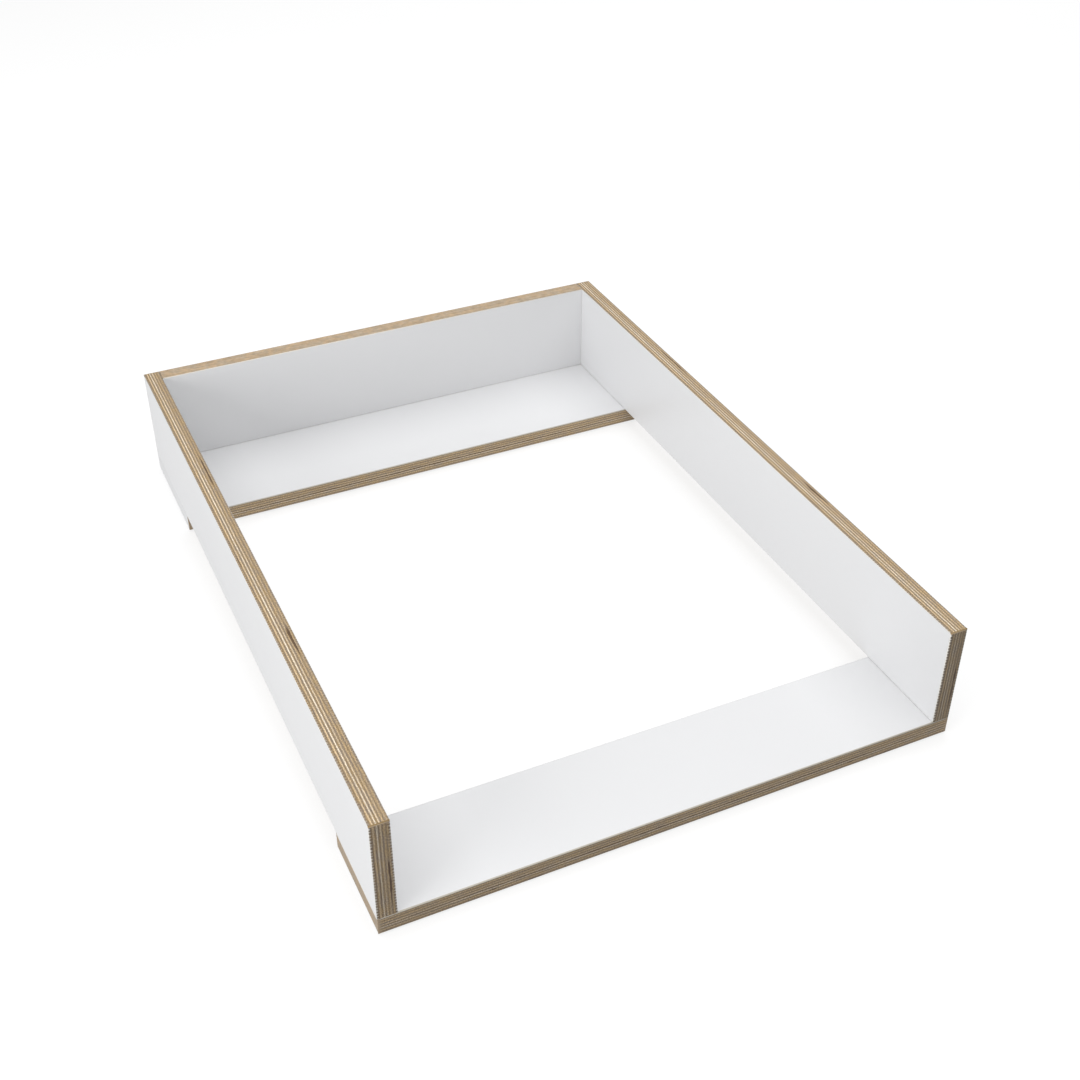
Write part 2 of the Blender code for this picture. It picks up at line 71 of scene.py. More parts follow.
camera_data = bpy.data.cameras.new("camera")
camera_data.lens = LENS_MM
camera_data.sensor_width = SENSOR_MM
camera = bpy.data.objects.new("camera", camera_data)
camera.location = CAMERA_PLACE
camera.rotation_euler = (CAMERA_TILT, 0.0, CAMERA_TURN)
bpy.context.scene.collection.objects.link(camera)
bpy.context.scene.camera = camera
bpy.context.scene.view_settings.view_transform = "Standard"
print("camera at", CAMERA_PLACE)

# %% [markdown]
# ## Finishes as expressions
#
# A finish is a material, and its pattern is arithmetic on positions and noise. Wiring each Math node by
# hand hides that arithmetic, so a small class, `Wire`, wraps a socket and lets Python's own operators add
# the nodes. `Finish` holds the material while it is wired, and its `node` method adds any other node.

# %% The wire
class Wire:
    """One output socket in a finish. Arithmetic on wires adds Math nodes."""

    def __init__(self, finish, socket):
        self.finish = finish
        self.socket = socket

    def __add__(self, other):
        return self.finish.math("ADD", self, other)

    def __radd__(self, other):
        return self.finish.math("ADD", other, self)

    def __sub__(self, other):
        return self.finish.math("SUBTRACT", self, other)

    def __rsub__(self, other):
        return self.finish.math("SUBTRACT", other, self)

    def __mul__(self, other):
        return self.finish.math("MULTIPLY", self, other)

    def __rmul__(self, other):
        return self.finish.math("MULTIPLY", other, self)

    def __truediv__(self, other):
        return self.finish.math("DIVIDE", self, other)

    def __abs__(self):
        return self.finish.math("ABSOLUTE", self)


# %% The finish
class Finish:
    """A material that is being wired, with a Principled shader and ways to add nodes."""

    def __init__(self, name, **constants):
        self.material = bpy.data.materials.new(name)
        self.material.use_nodes = True
        self.tree = self.material.node_tree
        self.shader = self.tree.nodes["Principled BSDF"]
        for socket, value in constants.items():
            self.shader.inputs[socket.replace("_", " ")].default_value = value

    @staticmethod
    def find(sockets, key):
        """A socket by its name, or by its place among those that the node's settings leave in use."""
        used = [socket for socket in sockets if socket.enabled]
        if isinstance(key, int):
            return used[key]
        return next(socket for socket in used if socket.name == key)

    def feed(self, socket, value):
        """Links a wire to a socket, or sets the socket to a number, a vector or a colour."""
        if isinstance(value, Wire):
            self.tree.links.new(value.socket, socket)
        elif socket.type == "RGBA":
            socket.default_value = (*value[:3], 1.0)
        else:
            socket.default_value = value

    def node(self, kind, settings=None, inputs=None, output=0):
        """Adds a node: its settings first, then its sockets' values or links. Returns one output."""
        made = self.tree.nodes.new(kind)
        for name, value in (settings or {}).items():
            setattr(made, name, value)
        for key, value in (inputs or {}).items():
            self.feed(self.find(made.inputs, key), value)
        return Wire(self, self.find(made.outputs, output))

    def math(self, operation, *values):
        return self.node("ShaderNodeMath", {"operation": operation}, dict(enumerate(values)))

    def place(self):
        """The point's x, y and z in the piece's own frame, in metres."""
        point = self.node("ShaderNodeTexCoord", output="Object")
        return [self.node("ShaderNodeSeparateXYZ", inputs={0: point}, output=axis) for axis in range(3)]

    def facing(self):
        """The surface's normal as three wires."""
        normal = self.node("ShaderNodeNewGeometry", output="Normal")
        return [self.node("ShaderNodeSeparateXYZ", inputs={0: normal}, output=axis) for axis in range(3)]

    def noise(self, x, y, z, detail=2.0, roughness=0.5):
        """Smooth noise around 0.5, with x, y and z counted in grains."""
        point = self.node("ShaderNodeCombineXYZ", inputs={0: x, 1: y, 2: z})
        sockets = {"Vector": point, "Scale": 1.0, "Detail": detail, "Roughness": roughness}
        return self.node("ShaderNodeTexNoise", inputs=sockets)

    def speckle(self, per_metre, detail=2.0, roughness=0.5):
        """Noise with so many grains to the metre: one count, or one each for x, y and z."""
        counts = per_metre if isinstance(per_metre, tuple) else (per_metre,) * 3
        x, y, z = (position * count for position, count in zip(self.place(), counts))
        return self.noise(x, y, z, detail, roughness)

    def step(self, value, start, end):
        """0 before start and 1 after end, with a soft change between them. start may be above end."""
        settings = {"interpolation_type": "SMOOTHSTEP"}
        if start < end:
            return self.node("ShaderNodeMapRange", settings, {0: value, 1: start, 2: end})
        return self.node("ShaderNodeMapRange", settings, {0: value, 1: end, 2: start, 3: 1.0, 4: 0.0})

    def mix(self, share, first, second, way="MIX"):
        """Colours mixed by share."""
        settings = {"data_type": "RGBA", "blend_type": way}
        return self.node("ShaderNodeMix", settings, {0: share, "A": first, "B": second})

    def shade(self, colour, value):
        """A colour made lighter or darker by a value around 1."""
        return self.mix(1.0, colour, value, "MULTIPLY")

    def wear(self, **wires):
        """Feeds the shader's varying inputs, by their names."""
        for socket, value in wires.items():
            self.feed(self.shader.inputs[socket.replace("_", " ")], value)

    def bump(self, height, depth, strength=1.0):
        """Raises the surface by height, 0 to 1, times depth in metres."""
        sockets = {"Strength": strength, "Distance": depth, "Height": height}
        self.wear(Normal=self.node("ShaderNodeBump", inputs=sockets))


def around_one(wire, depth):
    """A value that runs from 1 - depth / 2 to 1 + depth / 2 as the wire goes from 0 to 1."""
    return 1.0 + (wire - 0.5) * depth


print("finishes are wired through", Wire.__name__, "and", Finish.__name__)

# %% [markdown]
# ## Floor, world and lights
#
# The tray stands on a plain, very pale floor. An even world light fills every side. One wide softbox
# overhead makes the tops bright, a low one on the left does the same for the faces on that side, and a
# weak one at the back right serves the far sides. The faces towards the viewer get the world light alone,
# so they are clearly darker. The floor glows a little and stays out of diffuse bounces: that keeps its
# shadows faint without lighting the tray from below. Only in the open middle of the tray should light
# come up from it, on to the walls' inner faces, so a faint light panel that the camera doesn't see lies
# just under the floor there.

# %% The floor
FLOOR_HALF_WIDTH = 14.0
FLOOR_BASE = (0.36, 0.36, 0.36)
FLOOR_GLOW = (0.66, 0.66, 0.66)
PATCHES_PER_METRE = (3.0, 3.0, 0.0)
PATCH_DEPTH = 0.004


def flat_sheet(name, corners, height, finish):
    """A level sheet between four corners, for the stage."""
    mesh = bpy.data.meshes.new(name)
    mesh.from_pydata([(x, y, height) for x, y in corners], [], [(0, 1, 2, 3)])
    mesh.materials.append(finish.material)
    sheet = bpy.data.objects.new(name, mesh)
    bpy.context.scene.collection.objects.link(sheet)
    return sheet


floor_finish = Finish("pale_floor", Roughness=0.9, Specular_IOR_Level=0.0, Emission_Strength=1.0)
floor_tone = around_one(floor_finish.speckle(PATCHES_PER_METRE), PATCH_DEPTH)
floor_finish.wear(
    Base_Color=floor_finish.shade(FLOOR_BASE, floor_tone),
    Emission_Color=floor_finish.shade(FLOOR_GLOW, floor_tone),
)
unit_corners = [(-1, -1), (1, -1), (1, 1), (-1, 1)]
floor_corners = [(x * FLOOR_HALF_WIDTH, y * FLOOR_HALF_WIDTH) for x, y in unit_corners]
floor = flat_sheet("floor", floor_corners, 0.0, floor_finish)
floor.visible_diffuse = False
floor.visible_shadow = False
print("floor of", 2 * FLOOR_HALF_WIDTH, "m")

# %% The light panel
PANEL_GLOW = 0.85
PANEL_HEIGHT = -0.0001
PANEL_WHITE = (1.0, 1.0, 1.0)

panel_finish = Finish("light_panel", Roughness=0.9, Specular_IOR_Level=0.0, Emission_Strength=PANEL_GLOW)
panel_finish.shader.inputs["Base Color"].default_value = (0.0, 0.0, 0.0, 1.0)
panel_tone = around_one(panel_finish.speckle(PATCHES_PER_METRE), PATCH_DEPTH)
panel_finish.wear(Emission_Color=panel_finish.shade(PANEL_WHITE, panel_tone))
wall_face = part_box("right_side_wall")[0].x
open_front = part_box("front_board_band_back")[1].y
open_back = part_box("back_board_band_front")[0].y
panel_corners = [
    (-wall_face, open_front), (wall_face, open_front), (wall_face, open_back), (-wall_face, open_back)
]
panel = flat_sheet("light_panel", panel_corners, PANEL_HEIGHT, panel_finish)
panel.visible_camera = False
panel.visible_shadow = False
panel.visible_glossy = False
print("light panel from", panel_corners[0], "to", panel_corners[2])

# %% The lights
WORLD_LIGHT = 0.44
WORLD_COLOUR = (0.99, 0.995, 1.0, 1.0)
SOFTBOX_AIM = Vector((0.0, 0.0, 0.06))
SOFTBOXES = {
    "overhead_softbox": ((0.0, 0.0, 2.6), 4.5, 78.0),
    "left_softbox": ((-2.4, -0.9, 0.8), 1.6, 33.0),
    "rear_softbox": ((2.4, 2.6, 1.0), 2.0, 9.0),
}

world = bpy.data.worlds.new("studio")
world.use_nodes = True
world_shader = world.node_tree.nodes["Background"]
world_shader.inputs["Color"].default_value = WORLD_COLOUR
world_shader.inputs["Strength"].default_value = WORLD_LIGHT
bpy.context.scene.world = world

for name, (place, size, power) in SOFTBOXES.items():
    light = bpy.data.lights.new(name, "AREA")
    light.shape = "SQUARE"
    light.size = size
    light.energy = power
    softbox = bpy.data.objects.new(name, light)
    softbox.location = place
    softbox.rotation_euler = (SOFTBOX_AIM - Vector(place)).to_track_quat("-Z", "Y").to_euler()
    softbox.visible_camera = False
    bpy.context.scene.collection.objects.link(softbox)
print("softboxes:", sorted(SOFTBOXES), "and a world of", WORLD_LIGHT)

# %% [markdown]
# ## White laminate on chipboard
#
# Furniture board is chipboard pressed between two sheets of melamine. The sheet is a cool white with a
# very fine pearl texture, and its sheen changes a little from place to place. Wherever the board is
# drilled or cut, the brown chips show. So the finish looks at which way the surface faces: along the
# board's thickness it is laminate, and any other way it is chipboard. A hair of glue shows where the
# laminate meets the edge band.

# %% The laminate finish
LAMINATE_WHITE = (0.740, 0.742, 0.750)
DARK_CHIP = (0.17, 0.095, 0.045)
PALE_CHIP = (0.50, 0.345, 0.19)
GLUE_BROWN = (0.52, 0.44, 0.33)
PEARL_GRAIN = 0.0011
PEARL_DEPTH = 0.00001
SHEEN_PATCH = 0.09
CHIP_SIZE = 0.0016
DUST_PER_CHIP = 5.0
GLUE_LINE_WIDTH = 0.00016
GLUE_SHARE = 0.3


def chipboard(finish):
    """The colour of cut chipboard: long pale chips pressed into darker dust."""
    chips_per_metre = 1.0 / CHIP_SIZE
    chips = finish.speckle((chips_per_metre, chips_per_metre, chips_per_metre * 2.0), 3.0, 0.6)
    dust = finish.speckle(chips_per_metre * DUST_PER_CHIP)
    brown = finish.mix(finish.step(chips, 0.40, 0.62), DARK_CHIP, PALE_CHIP)
    return finish.shade(brown, around_one(dust, 0.5))


def pearl_texture(finish):
    """The very fine grain that is pressed into white plastic and melamine."""
    return finish.speckle(1.0 / PEARL_GRAIN, 1.0)


def laminate(name, thickness_axis, low, high):
    """White laminate on a board from low to high. Its faces look along thickness_axis."""
    finish = Finish(name, IOR=1.5)
    place = finish.place()
    sheet = finish.step(abs(finish.facing()[thickness_axis]), 0.85, 0.95)
    patches = finish.speckle(1.0 / SHEEN_PATCH, 3.0)
    pearl = pearl_texture(finish)
    white = finish.shade(LAMINATE_WHITE, around_one(patches, 0.016) + (pearl - 0.5) * 0.006)
    for axis in range(3):
        if axis == thickness_axis:
            continue
        middle, half = (low[axis] + high[axis]) / 2, (high[axis] - low[axis]) / 2
        glue = finish.step(abs(place[axis] - middle), half - GLUE_LINE_WIDTH, half)
        white = finish.mix(glue * GLUE_SHARE, white, GLUE_BROWN)
    finish.wear(
        Base_Color=finish.mix(sheet, chipboard(finish), white),
        Roughness=0.9 - sheet * (0.50 - (patches - 0.5) * 0.14),
    )
    finish.bump(pearl, PEARL_DEPTH, 0.5)
    return finish.material


print("laminate white is", LAMINATE_WHITE)

# %% [markdown]
# ## Bands printed to look like plywood
#
# The visible edges are not plywood, but a 1 mm band with plywood printed on it. The print has about
# twelve plies across its 18 mm: narrow cream lines, where the grain runs along the band, between darker
# plies of speckled end grain, with a dark seam of glue in the middle of each. The lines wander a little,
# and here and there a dark streak runs along. A position across the band, 0 to 1, times the number of ply
# pairs gives a phase, and its distance from the nearest light line draws both the lines and the seams.
#
# Four things happen at a band's borders. Its long edges are milled round, so its pale or beige body shows
# there. On the walls the mill has broken the outermost plies into light and dark dots. Where a band's end
# is sawn it is golden brown, and where it is milled a tan rounding comes before the cut. On the boards
# the print ends in tan, because the next band is wrapped round the same corner.

# %% The print's colours
GREY_PLY = (0.262, 0.200, 0.138)
GOLD_PLY = (0.322, 0.222, 0.110)
CREAM_LINE = (0.790, 0.680, 0.530)
GOLD_LINE = (0.670, 0.500, 0.300)
STREAK_BROWN = (0.085, 0.042, 0.014)
DOT_WHITE = (0.880, 0.860, 0.810)
PALE_BODY = (0.800, 0.780, 0.730)
BEIGE_BODY = (0.500, 0.465, 0.395)
BAND_CUT = (0.270, 0.180, 0.075)
ROUNDED_TAN = (0.4785, 0.3608, 0.2409)
WRAPPED_TAN = (0.348, 0.2624, 0.1752)
COOL_TAN = (0.420, 0.328, 0.228)
WARM_TAN = (0.455, 0.330, 0.205)


def toned(colour, tone):
    """A colour made lighter or darker by a number."""
    return [part * tone for part in colour]


print("ply colours:", GREY_PLY, GOLD_PLY)

# %% The plies
PLY_PAIRS = 6
LIGHT_LINE_PHASE = 0.22
LINE_EDGES = (0.54, 0.16)
SEAM_EDGES = (0.72, 0.96)
WANDER_PER_METRE = 38.0
WANDER_SHARE = 0.035
SHIVER_PER_METRE = 170.0
SHIVER_SHARE = 0.020
SWELL_PER_METRE = 16.0
SWELL_DEPTH = 0.30
FADE_ACROSS = (0.80, 0.34)
BARE_SIDE = (0.07, 0.12)


def plies(finish, across, along, seed, fade, contrast):
    """Masks of the light lines and the seams, and the two slow noises that the lines wander by.
    The numbers that are added to seed keep the noises apart."""
    wander = finish.noise(along * WANDER_PER_METRE, across * 3.0, seed, 1.0) - 0.5
    shiver = finish.noise(along * SHIVER_PER_METRE, across * 9.0, seed + 7.0, 1.0) - 0.5
    wandered = across + wander * WANDER_SHARE + shiver * SHIVER_SHARE
    phase = wandered * PLY_PAIRS - LIGHT_LINE_PHASE + 0.5
    ply = finish.math("FLOOR", phase)
    from_line = abs(finish.math("FRACT", phase) - 0.5) * 2.0
    swell = finish.step(finish.noise(along * SWELL_PER_METRE, ply * 5.3, seed + 17.0), 0.34, 0.60)
    reach = 1.0 - fade + finish.step(across, *FADE_ACROSS) * fade
    strength = reach * (1.0 - SWELL_DEPTH + swell * SWELL_DEPTH) * contrast
    strength = strength * finish.step(across, *BARE_SIDE)
    lines = finish.step(from_line, *LINE_EDGES) * strength
    return lines, finish.step(from_line, *SEAM_EDGES), wander, shiver


print("print has", PLY_PAIRS, "pairs of plies")

# %% The streaks and dots
STREAK_TAPER = 0.3
STREAK_SHARE = 0.92
DOT_PITCH = 0.0034
DOT_EDGES = (0.40, 0.62)
DARK_DOT_ZONE = (0.35, 0.39)
PALE_DOT_ZONE = (0.41, 0.45)
DOT_ZONE_END = (0.4998, 0.4985)
DARK_DOT_SHARE = 0.80
PALE_DOT_SHARE = 0.85


def streaks(finish, across, along, marks):
    """Dark streaks: each mark is its place across, where it starts and ends along, and its half width."""
    total = 0.0
    for middle, start, end, half_width in marks:
        centre, half_length = (start + end) / 2, (end - start) / 2
        body = finish.step(abs(across - middle), half_width, half_width * STREAK_TAPER)
        run = finish.step(abs(along - centre), half_length, half_length * (1.0 - 2.0 * STREAK_TAPER))
        total = body * run + total
    return total


def stitched_edges(finish, colour, across, along, seed, tone, stitch):
    """Breaks the outermost plies, where the cutter met the end grain, into light and dark dots."""
    shiver = finish.noise(along * SHIVER_PER_METRE, across * 2.0, seed + 19.0, 1.0) - 0.5
    beat = abs(finish.math("FRACT", along / DOT_PITCH + shiver * 0.8) - 0.5) * 2.0
    dots = finish.step(beat, *DOT_EDGES)
    from_middle = abs(across - 0.5)
    shown = finish.step(from_middle, *DOT_ZONE_END) * stitch
    dark = finish.step(from_middle, *DARK_DOT_ZONE) * shown * (1.0 - dots)
    pale = finish.step(from_middle, *PALE_DOT_ZONE) * shown * dots
    colour = finish.mix(dark * DARK_DOT_SHARE, colour, toned(STREAK_BROWN, tone))
    return finish.mix(pale * PALE_DOT_SHARE, colour, DOT_WHITE)


print("dots every", DOT_PITCH * 1000, "mm")

# %% The plywood print
BAND_WIDTH = 0.018
GRAIN = 0.0011
GRAIN_FLATNESS = 0.8
FIBRE_LENGTH = 0.016
FIBRE_WIDTH = 0.0004
WARMTH_PER_METRE = 75.0
CREAM_MIDDLE = 0.40
CREAM_ZONE = (0.20, 0.08)
CELL_DEPTH = 0.76
FIBRE_DEPTH = 0.28
SEAM_DEPTH = 0.26
SEAM_BALANCE = 1.06


def band_fibre(finish, across, along, seed):
    """Fine fibres that run along a band."""
    return finish.noise(along / FIBRE_LENGTH, across * BAND_WIDTH / FIBRE_WIDTH, seed + 5.0)


def plywood_print(finish, across, along, seed, fade, contrast, tone, marks):
    """The printed colour at a place across the band (0 to 1) and along it (metres)."""
    lines, seams, wander, shiver = plies(finish, across, along, seed, fade, contrast)
    fibre = band_fibre(finish, across, along, seed)
    grain = finish.noise(along / GRAIN, across * BAND_WIDTH / (GRAIN * GRAIN_FLATNESS), seed + 3.0)
    cells = finish.step(grain, 0.36, 0.64)
    warmth = finish.step(finish.noise(along * WARMTH_PER_METRE, across * 9.0, seed + 13.0), 0.38, 0.62)
    dark = finish.mix(warmth, toned(GREY_PLY, tone), toned(GOLD_PLY, tone))
    cream = finish.step(abs(across - CREAM_MIDDLE), *CREAM_ZONE)
    light = finish.mix(cream, toned(GOLD_LINE, tone), toned(CREAM_LINE, tone))
    texture = around_one(cells, CELL_DEPTH) * around_one(fibre, FIBRE_DEPTH)
    colour = finish.shade(finish.mix(lines, dark, light), texture * (SEAM_BALANCE - seams * SEAM_DEPTH))
    wobbled = across + wander * 0.12 + shiver * 0.04
    dark_share = streaks(finish, wobbled, along, marks) * STREAK_SHARE
    return finish.mix(dark_share, colour, toned(STREAK_BROWN, tone)), fibre, cells


print("fibres are", FIBRE_WIDTH * 1000, "mm wide")

# %% The band finishes
MILLED_SHARE = 0.018
CUT_LENGTH = 0.0016
CUT_DEPTH = 0.0003
END_ROUNDING = 0.0012
WRAP = (0.0042, 0.0004)
BAND_RELIEF = 0.00003


def band_setup(name, axes, low, high, share=MILLED_SHARE):
    """A band's finish, with the places across (0 to 1) and along (metres) and the mask of its milled edges.
    axes are the numbers of the axes across and along."""
    finish = Finish(name, IOR=1.46)
    place = finish.place()
    across_axis, along_axis = axes
    across = (place[across_axis] - low[across_axis]) / (high[across_axis] - low[across_axis])
    along = place[along_axis] - low[along_axis]
    milled = finish.step(abs(across - 0.5), 0.5 - share, 0.5 - share * 0.3)
    return finish, across, along, milled


def plywood_band(
    name, axes, low, high, seed, fade=0.62, contrast=1.0, tone=1.0, stitch=0.20, marks=(), end="cut",
    share=MILLED_SHARE, rim=PALE_BODY,
):
    """A band with the plywood print. Its end is cut, showing golden brown, or milled, or wrapped in tan."""
    finish, across, along, milled = band_setup(name, axes, low, high, share)
    length = high[axes[1]] - low[axes[1]]
    colour, fibre, cells = plywood_print(finish, across, along, seed, fade, contrast, tone, marks)
    colour = finish.mix(milled, colour, rim)
    if stitch > 0.0:
        colour = stitched_edges(finish, colour, across, along, seed, tone, stitch)
    to_end = length / 2 - abs(along - length / 2)
    to_top = length - along
    if end == "cut":
        colour = finish.mix(finish.step(to_end, CUT_LENGTH, CUT_LENGTH * 0.85), colour, BAND_CUT)
    elif end == "milled":
        colour = finish.mix(finish.step(to_top, END_ROUNDING, END_ROUNDING * 0.7), colour, ROUNDED_TAN)
        colour = finish.mix(finish.step(to_top, CUT_DEPTH, CUT_DEPTH * 0.6), colour, BAND_CUT)
    else:
        colour = finish.mix(finish.step(to_end, *WRAP), colour, WRAPPED_TAN)
    finish.wear(Base_Color=colour, Roughness=0.50 + fibre * 0.16 + milled * 0.08)
    finish.bump(fibre * 0.6 + cells * 0.4, BAND_RELIEF, 0.6)
    return finish.material


def plain_band(name, axes, low, high, seed, tone=1.0, mottle=0.34, share=MILLED_SHARE):
    """A band of one colour with a soft mottle and faint stripes along it."""
    finish, across, along, milled = band_setup(name, axes, low, high, share)
    cloud = finish.noise(along * 150.0, across * 3.0, seed, 3.0, 0.65)
    stripes = finish.noise(along * 9.0, across * 9.0, seed + 2.0)
    fibre = band_fibre(finish, across, along, seed)
    warmth = finish.step(finish.noise(along * 90.0, across * 2.0, seed + 9.0), 0.38, 0.62)
    uneven = (cloud - 0.5) * 3.0 + (stripes - 0.5) * 2.0 + (fibre - 0.5)
    tan = finish.mix(warmth, toned(COOL_TAN, tone), toned(WARM_TAN, tone))
    colour = finish.mix(milled, finish.shade(tan, 1.0 + uneven * mottle), PALE_BODY)
    finish.wear(Base_Color=colour, Roughness=0.50 + fibre * 0.14 + milled * 0.08)
    finish.bump(fibre, BAND_RELIEF, 0.5)
    return finish.material


def white_band(name, axes, low, high):
    """The white plastic band at the back, with the same fine pearl as the laminate."""
    finish, across, along, milled = band_setup(name, axes, low, high)
    pearl = pearl_texture(finish)
    drag = finish.noise(along * 25.0, across * 5.0, 3.0)
    white = finish.shade(LAMINATE_WHITE, 0.965 + pearl * 0.02 + drag * 0.025)
    finish.wear(Base_Color=white, Roughness=0.40 + drag * 0.12 + milled * 0.12)
    finish.bump(pearl, PEARL_DEPTH, 0.5)
    return finish.material


print("bands: plywood look, plain tan and white")

# %% [markdown]
# ## Making the bands
#
# Each band is a flat bar with its long outer edges milled round. In the construction model a hair of glue
# separates it from the board, and that would show as a dark line, so the finer bar reaches inwards across
# it. A box whose chosen edges are bevelled in several steps gives the milled edge. The flat sides stay
# flat shaded and only the roundings are smooth, so that no shading bleeds over the flats.

# %% The band maker
GLUE_ROOM = 0.0003
BAND_ROUNDING = 0.0006
ROUNDING_STEPS = 6
JOINT_FILL = 0.0002
SQUARE_TO_AXIS = 0.9999
pieces = {}


def box_mesh(bm, low, high):
    """A box between two corners."""
    middle = [(a + b) / 2 for a, b in zip(low, high)]
    size = [b - a for a, b in zip(low, high)]
    place = Matrix.Translation(middle) @ Matrix.Diagonal((*size, 1.0))
    bmesh.ops.create_cube(bm, size=1.0, matrix=place)


def add_piece(name, bm, materials, node, place=None):
    """Links a finished mesh as a piece that stands for a node of the frame."""
    mesh = bpy.data.meshes.new(name)
    bm.to_mesh(mesh)
    bm.free()
    for material in materials:
        mesh.materials.append(material)
    piece = bpy.data.objects.new(name, mesh)
    if place is not None:
        piece.matrix_world = place
    bpy.context.scene.collection.objects.link(piece)
    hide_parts(node)
    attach(piece, "root")
    pieces[name] = piece
    return piece


def smooth_roundings(bm):
    """Smooth shading on every face that doesn't lie square to an axis."""
    for face in bm.faces:
        face.smooth = max(abs(part) for part in face.normal) < SQUARE_TO_AXIS


def make_band(node, outward, across_axis, material, open_ends=(), fill_out=0.0):
    """Builds the finer band for a node. outward is the axis and sign that its printed face looks along, and
    open_ends are the signs of the ends, along its length, that are milled round too."""
    face_axis, face_sign = outward
    along_axis = 3 - face_axis - across_axis
    low, high = (list(corner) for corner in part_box(node))
    inner, outer = (low, high) if face_sign > 0 else (high, low)
    inner[face_axis] -= face_sign * GLUE_ROOM
    outer[face_axis] += face_sign * fill_out
    bm = bmesh.new()
    box_mesh(bm, low, high)
    bm.normal_update()
    printed = max(bm.faces, key=lambda face: face.normal[face_axis] * face_sign)
    middle = printed.calc_center_median()
    chosen = []
    for edge in printed.edges:
        offset = (edge.verts[0].co + edge.verts[1].co) / 2 - middle
        is_long = abs(offset[across_axis]) > abs(offset[along_axis])
        end_sign = 1 if offset[along_axis] > 0 else -1
        if is_long or end_sign in open_ends:
            chosen.append(edge)
    bmesh.ops.bevel(
        bm, geom=chosen, offset=BAND_ROUNDING, segments=ROUNDING_STEPS, profile=0.5, affect="EDGES"
    )
    bm.normal_update()
    smooth_roundings(bm)
    return add_piece(node + "_piece", bm, [material], node)


print("bands are rounded by", BAND_ROUNDING * 1000, "mm")

# %% [markdown]
# ## The side walls' bands
#
# Each side wall is banded all round: along its top and bottom edges, and full height at its front and
# back. The print is laid so that its bright lines are on the left of both walls. The dark streaks are
# where a knot passes through one ply. The front edges are toned darker than the tops, partly by the
# print's own tone and partly by painted shade, and the right wall's front is darkest by more painted
# shade. The bottom bands have white rims, so that no line shows where a wall stands on a board.

# %% Marks and boxes
X, Y, Z = 0, 1, 2


def panel_box(node):
    """The box of a wall or board with its bands, from the nodes that share its name."""
    corners = [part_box(name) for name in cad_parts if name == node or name.startswith(node + "_band")]
    low = [min(corner[0][axis] for corner in corners) for axis in range(3)]
    high = [max(corner[1][axis] for corner in corners) for axis in range(3)]
    return low, high


def stretched(marks, length):
    """Marks whose starts and ends are shares of a band's length, in metres."""
    return [(middle, start * length, end * length, half_width) for middle, start, end, half_width in marks]


print("a side wall's box is", panel_box("left_side_wall"))

# %% Side wall bands
TOP_MARKS = (
    (0.81, 0.275, 0.35, 0.060),
    (0.74, 0.29, 0.34, 0.040),
    (0.80, 0.655, 0.75, 0.065),
    (0.13, 0.47, 0.50, 0.025),
)
WALL_FRONT_MARKS = (
    (0.79, 0.04, 0.62, 0.045),
    (0.80, 0.24, 0.40, 0.070),
    (0.78, 0.44, 0.60, 0.070),
    (0.30, 0.02, 0.50, 0.020),
)
TOP_FADES = (0.62, 0.36)
# Tones of the front prints: darker than the tops partly by the print's own tone and partly by painted
# shade; the right wall's lower tone is painted shade.
FRONT_PRINT_AND_SHADE_TONES = (0.73, 0.56)
WALL_SEEDS = (3.0, 23.0)

for wall_number, wall in enumerate(("left_side_wall", "right_side_wall")):
    low, high = panel_box(wall)
    seed = WALL_SEEDS[wall_number]
    top = plywood_band(
        wall + "_top_print", (X, Y), low, high, seed,
        fade=TOP_FADES[wall_number], marks=stretched(TOP_MARKS, high[Y] - low[Y]),
    )
    bottom = plywood_band(wall + "_bottom_print", (X, Y), low, high, seed, stitch=0.0, rim=LAMINATE_WHITE)
    front = plywood_band(
        wall + "_front_print_and_shade", (X, Z), low, high, seed + 6.0, fade=0.45, contrast=0.66,
        tone=FRONT_PRINT_AND_SHADE_TONES[wall_number], stitch=0.58, marks=stretched(WALL_FRONT_MARKS, high[Z] - low[Z]),
        end="milled",
    )
    make_band(wall + "_band_top", (Z, 1), X, top)
    make_band(wall + "_band_bottom", (Z, -1), X, bottom, fill_out=JOINT_FILL)
    make_band(wall + "_band_front", (Y, -1), X, front, open_ends=(1,))
    make_band(wall + "_band_back", (Y, 1), X, front, open_ends=(1,))
print("side wall bands:", len(pieces))

# %% [markdown]
# ## The bands of the back wall and the boards
#
# The back wall's top is a plain mottled tan. The front board has the plywood print along its front and
# back edges and plain tan on its two ends. The back board has the print only on its front edge, and white
# bands on the other three, because they are seen from outside only at the back. Front edges have a wide
# beige rim, and the front board's rear edge a white one, which is lost against its face.

# %% Back wall and front board bands
FRONT_BOARD_MARKS = (
    (0.29, 0.172, 0.188, 0.05),
    (0.29, 0.802, 0.818, 0.05),
    (0.07, 0.235, 0.265, 0.05),
    (0.07, 0.865, 0.895, 0.05),
    (0.45, -0.1, 1.1, 0.045),
)
BEIGE_RIM_SHARE = 0.060
FRONT_BOARD_TONE = 0.79
FRONT_BOARD_CONTRAST = 0.60
BOTH_ENDS = (-1, 1)

low, high = panel_box("back_wall")
back_top = plain_band("back_wall_top_tan", (Y, X), low, high, 41.0)
make_band("back_wall_band_top", (Z, 1), Y, back_top)

